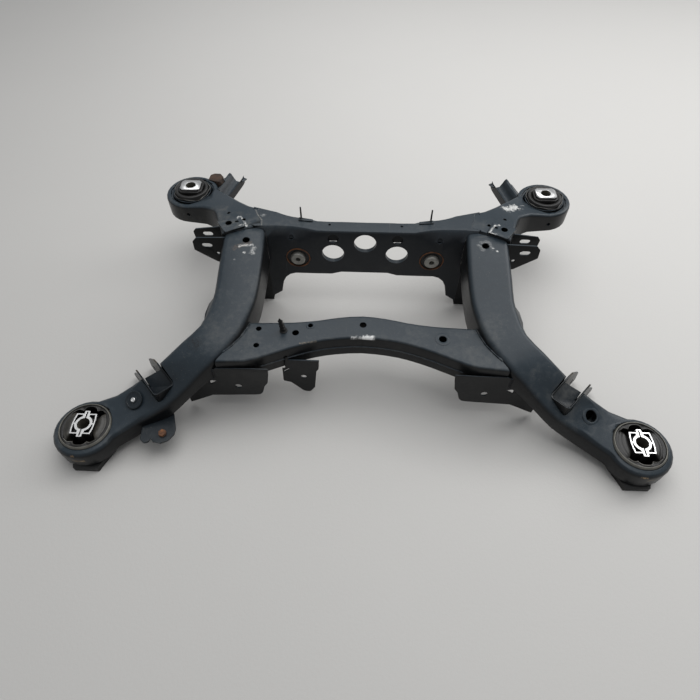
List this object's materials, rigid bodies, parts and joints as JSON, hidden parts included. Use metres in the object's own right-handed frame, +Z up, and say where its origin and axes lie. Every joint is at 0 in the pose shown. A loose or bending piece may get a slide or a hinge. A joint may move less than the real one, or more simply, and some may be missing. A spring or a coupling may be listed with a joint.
{
  "type": "rear axle subframe",
  "caption": "Pressed-steel rear axle subframe: hollow side members with bushed eyes, crossmembers, link brackets and legs, black coated.",
  "frame": {"origin": "centre of the bounding box at its bottom, in the plane on which the legs and the stop plates under the front eyes stand", "axes": "+X from the left eyes to the right eyes as the picture shows them, +Y from the front bushes to the rear bushes, +Z up, the bush axes stand along Z"},
  "size_m": [1.229, 0.7716, 0.26],
  "materials": {
    "black_ecoat": "satin black electro-dip coat, scuffed and dusty",
    "bush_rubber": "matt",
    "machined_aluminium": "machined",
    "sleeve_metal": "dull, lightly stained",
    "rusty_steel": "surface rust",
    "clip_plastic": "moulded"
  },
  "bodies": {
    "root": {"cable_clip": "clip_plastic", "front_crossmember_lower": "black_ecoat", "front_crossmember_upper": "black_ecoat", "front_diff_bracket": "black_ecoat", "left_diff_bush_core": "sleeve_metal", "left_diff_bush_rubber": "bush_rubber", "left_diff_bush_sleeve": "rusty_steel", "left_far_clevis_plate": "black_ecoat", "left_flange_fin": "black_ecoat", "left_front_bush_core": "machined_aluminium", "left_front_bush_rubber": "bush_rubber", "left_front_bush_sleeve": "sleeve_metal", "left_inner_web_doubler": "black_ecoat", "left_joint_plate": "black_ecoat", "left_leg": "black_ecoat", "left_link_bracket": "black_ecoat", "left_lower_bracket": "black_ecoat", "left_near_clevis_plate": "black_ecoat", "left_outer_tab": "black_ecoat", "left_outer_web_doubler": "black_ecoat", "left_rear_arm": "black_ecoat", "left_rear_arm_closing_plate": "black_ecoat", "left_rear_bush_core": "machined_aluminium", "left_rear_bush_rubber": "bush_rubber", "left_rear_bush_sleeve": "sleeve_metal", "left_rear_saddle_bracket": "black_ecoat", "left_side_member": "black_ecoat", "left_stop_plate": "bush_rubber", "plug_disc": "black_ecoat", "rear_crossmember": "black_ecoat", "right_diff_bush_core": "sleeve_metal", "right_diff_bush_rubber": "bush_rubber", "right_diff_bush_sleeve": "rusty_steel", "right_far_clevis_plate": "black_ecoat", "right_flange_fin": "black_ecoat", "right_front_bush_core": "machined_aluminium", "right_front_bush_rubber": "bush_rubber", "right_front_bush_sleeve": "sleeve_metal", "right_inner_web_doubler": "black_ecoat", "right_joint_plate": "black_ecoat", "right_leg": "black_ecoat", "right_link_bracket": "black_ecoat", "right_lower_bracket": "black_ecoat", "right_near_clevis_plate": "black_ecoat", "right_outer_tab": "black_ecoat", "right_outer_web_doubler": "black_ecoat", "right_rear_arm": "black_ecoat", "right_rear_arm_closing_plate": "black_ecoat", "right_rear_bush_core": "machined_aluminium", "right_rear_bush_rubber": "bush_rubber", "right_rear_bush_sleeve": "sleeve_metal", "right_rear_saddle_bracket": "black_ecoat", "right_side_member": "black_ecoat", "right_stop_plate": "bush_rubber", "rusty_lug": "rusty_steel", "sensor_bolt": "rusty_steel", "sensor_bracket": "black_ecoat"}
  },
  "joints": []
}
